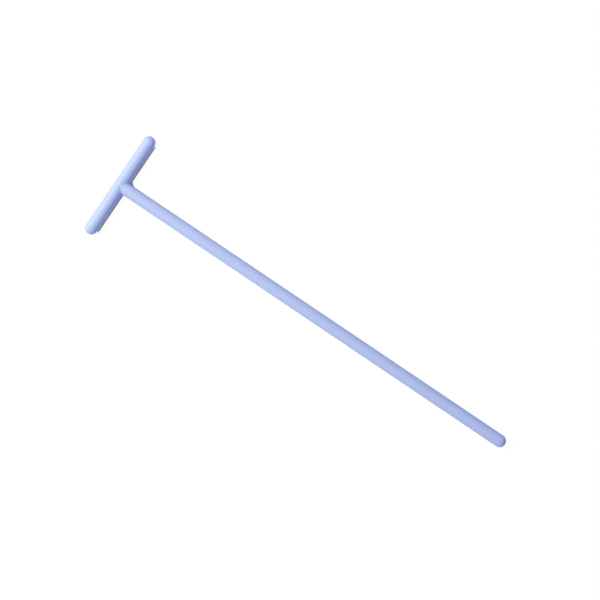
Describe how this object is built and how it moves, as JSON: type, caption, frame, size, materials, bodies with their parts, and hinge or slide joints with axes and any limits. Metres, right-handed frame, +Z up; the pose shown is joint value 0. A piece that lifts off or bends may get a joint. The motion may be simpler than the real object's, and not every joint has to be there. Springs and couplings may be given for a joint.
{
  "type": "cell spreader",
  "caption": "T-shaped plastic rod for spreading cells over an agar plate: a long round handle meets the middle of a short round bar, and all three ends are half-balls.",
  "frame": {"origin": "middle of the spreader's outline seen from above, on the surface that it lies on", "axes": "+X along the handle, from the bar to the tip; +Y along the bar; +Z up from the surface"},
  "size_m": [0.146, 0.036, 0.0041],
  "materials": {
    "plastic": "satin"
  },
  "bodies": {
    "root": {"spreader": "plastic"}
  },
  "joints": []
}
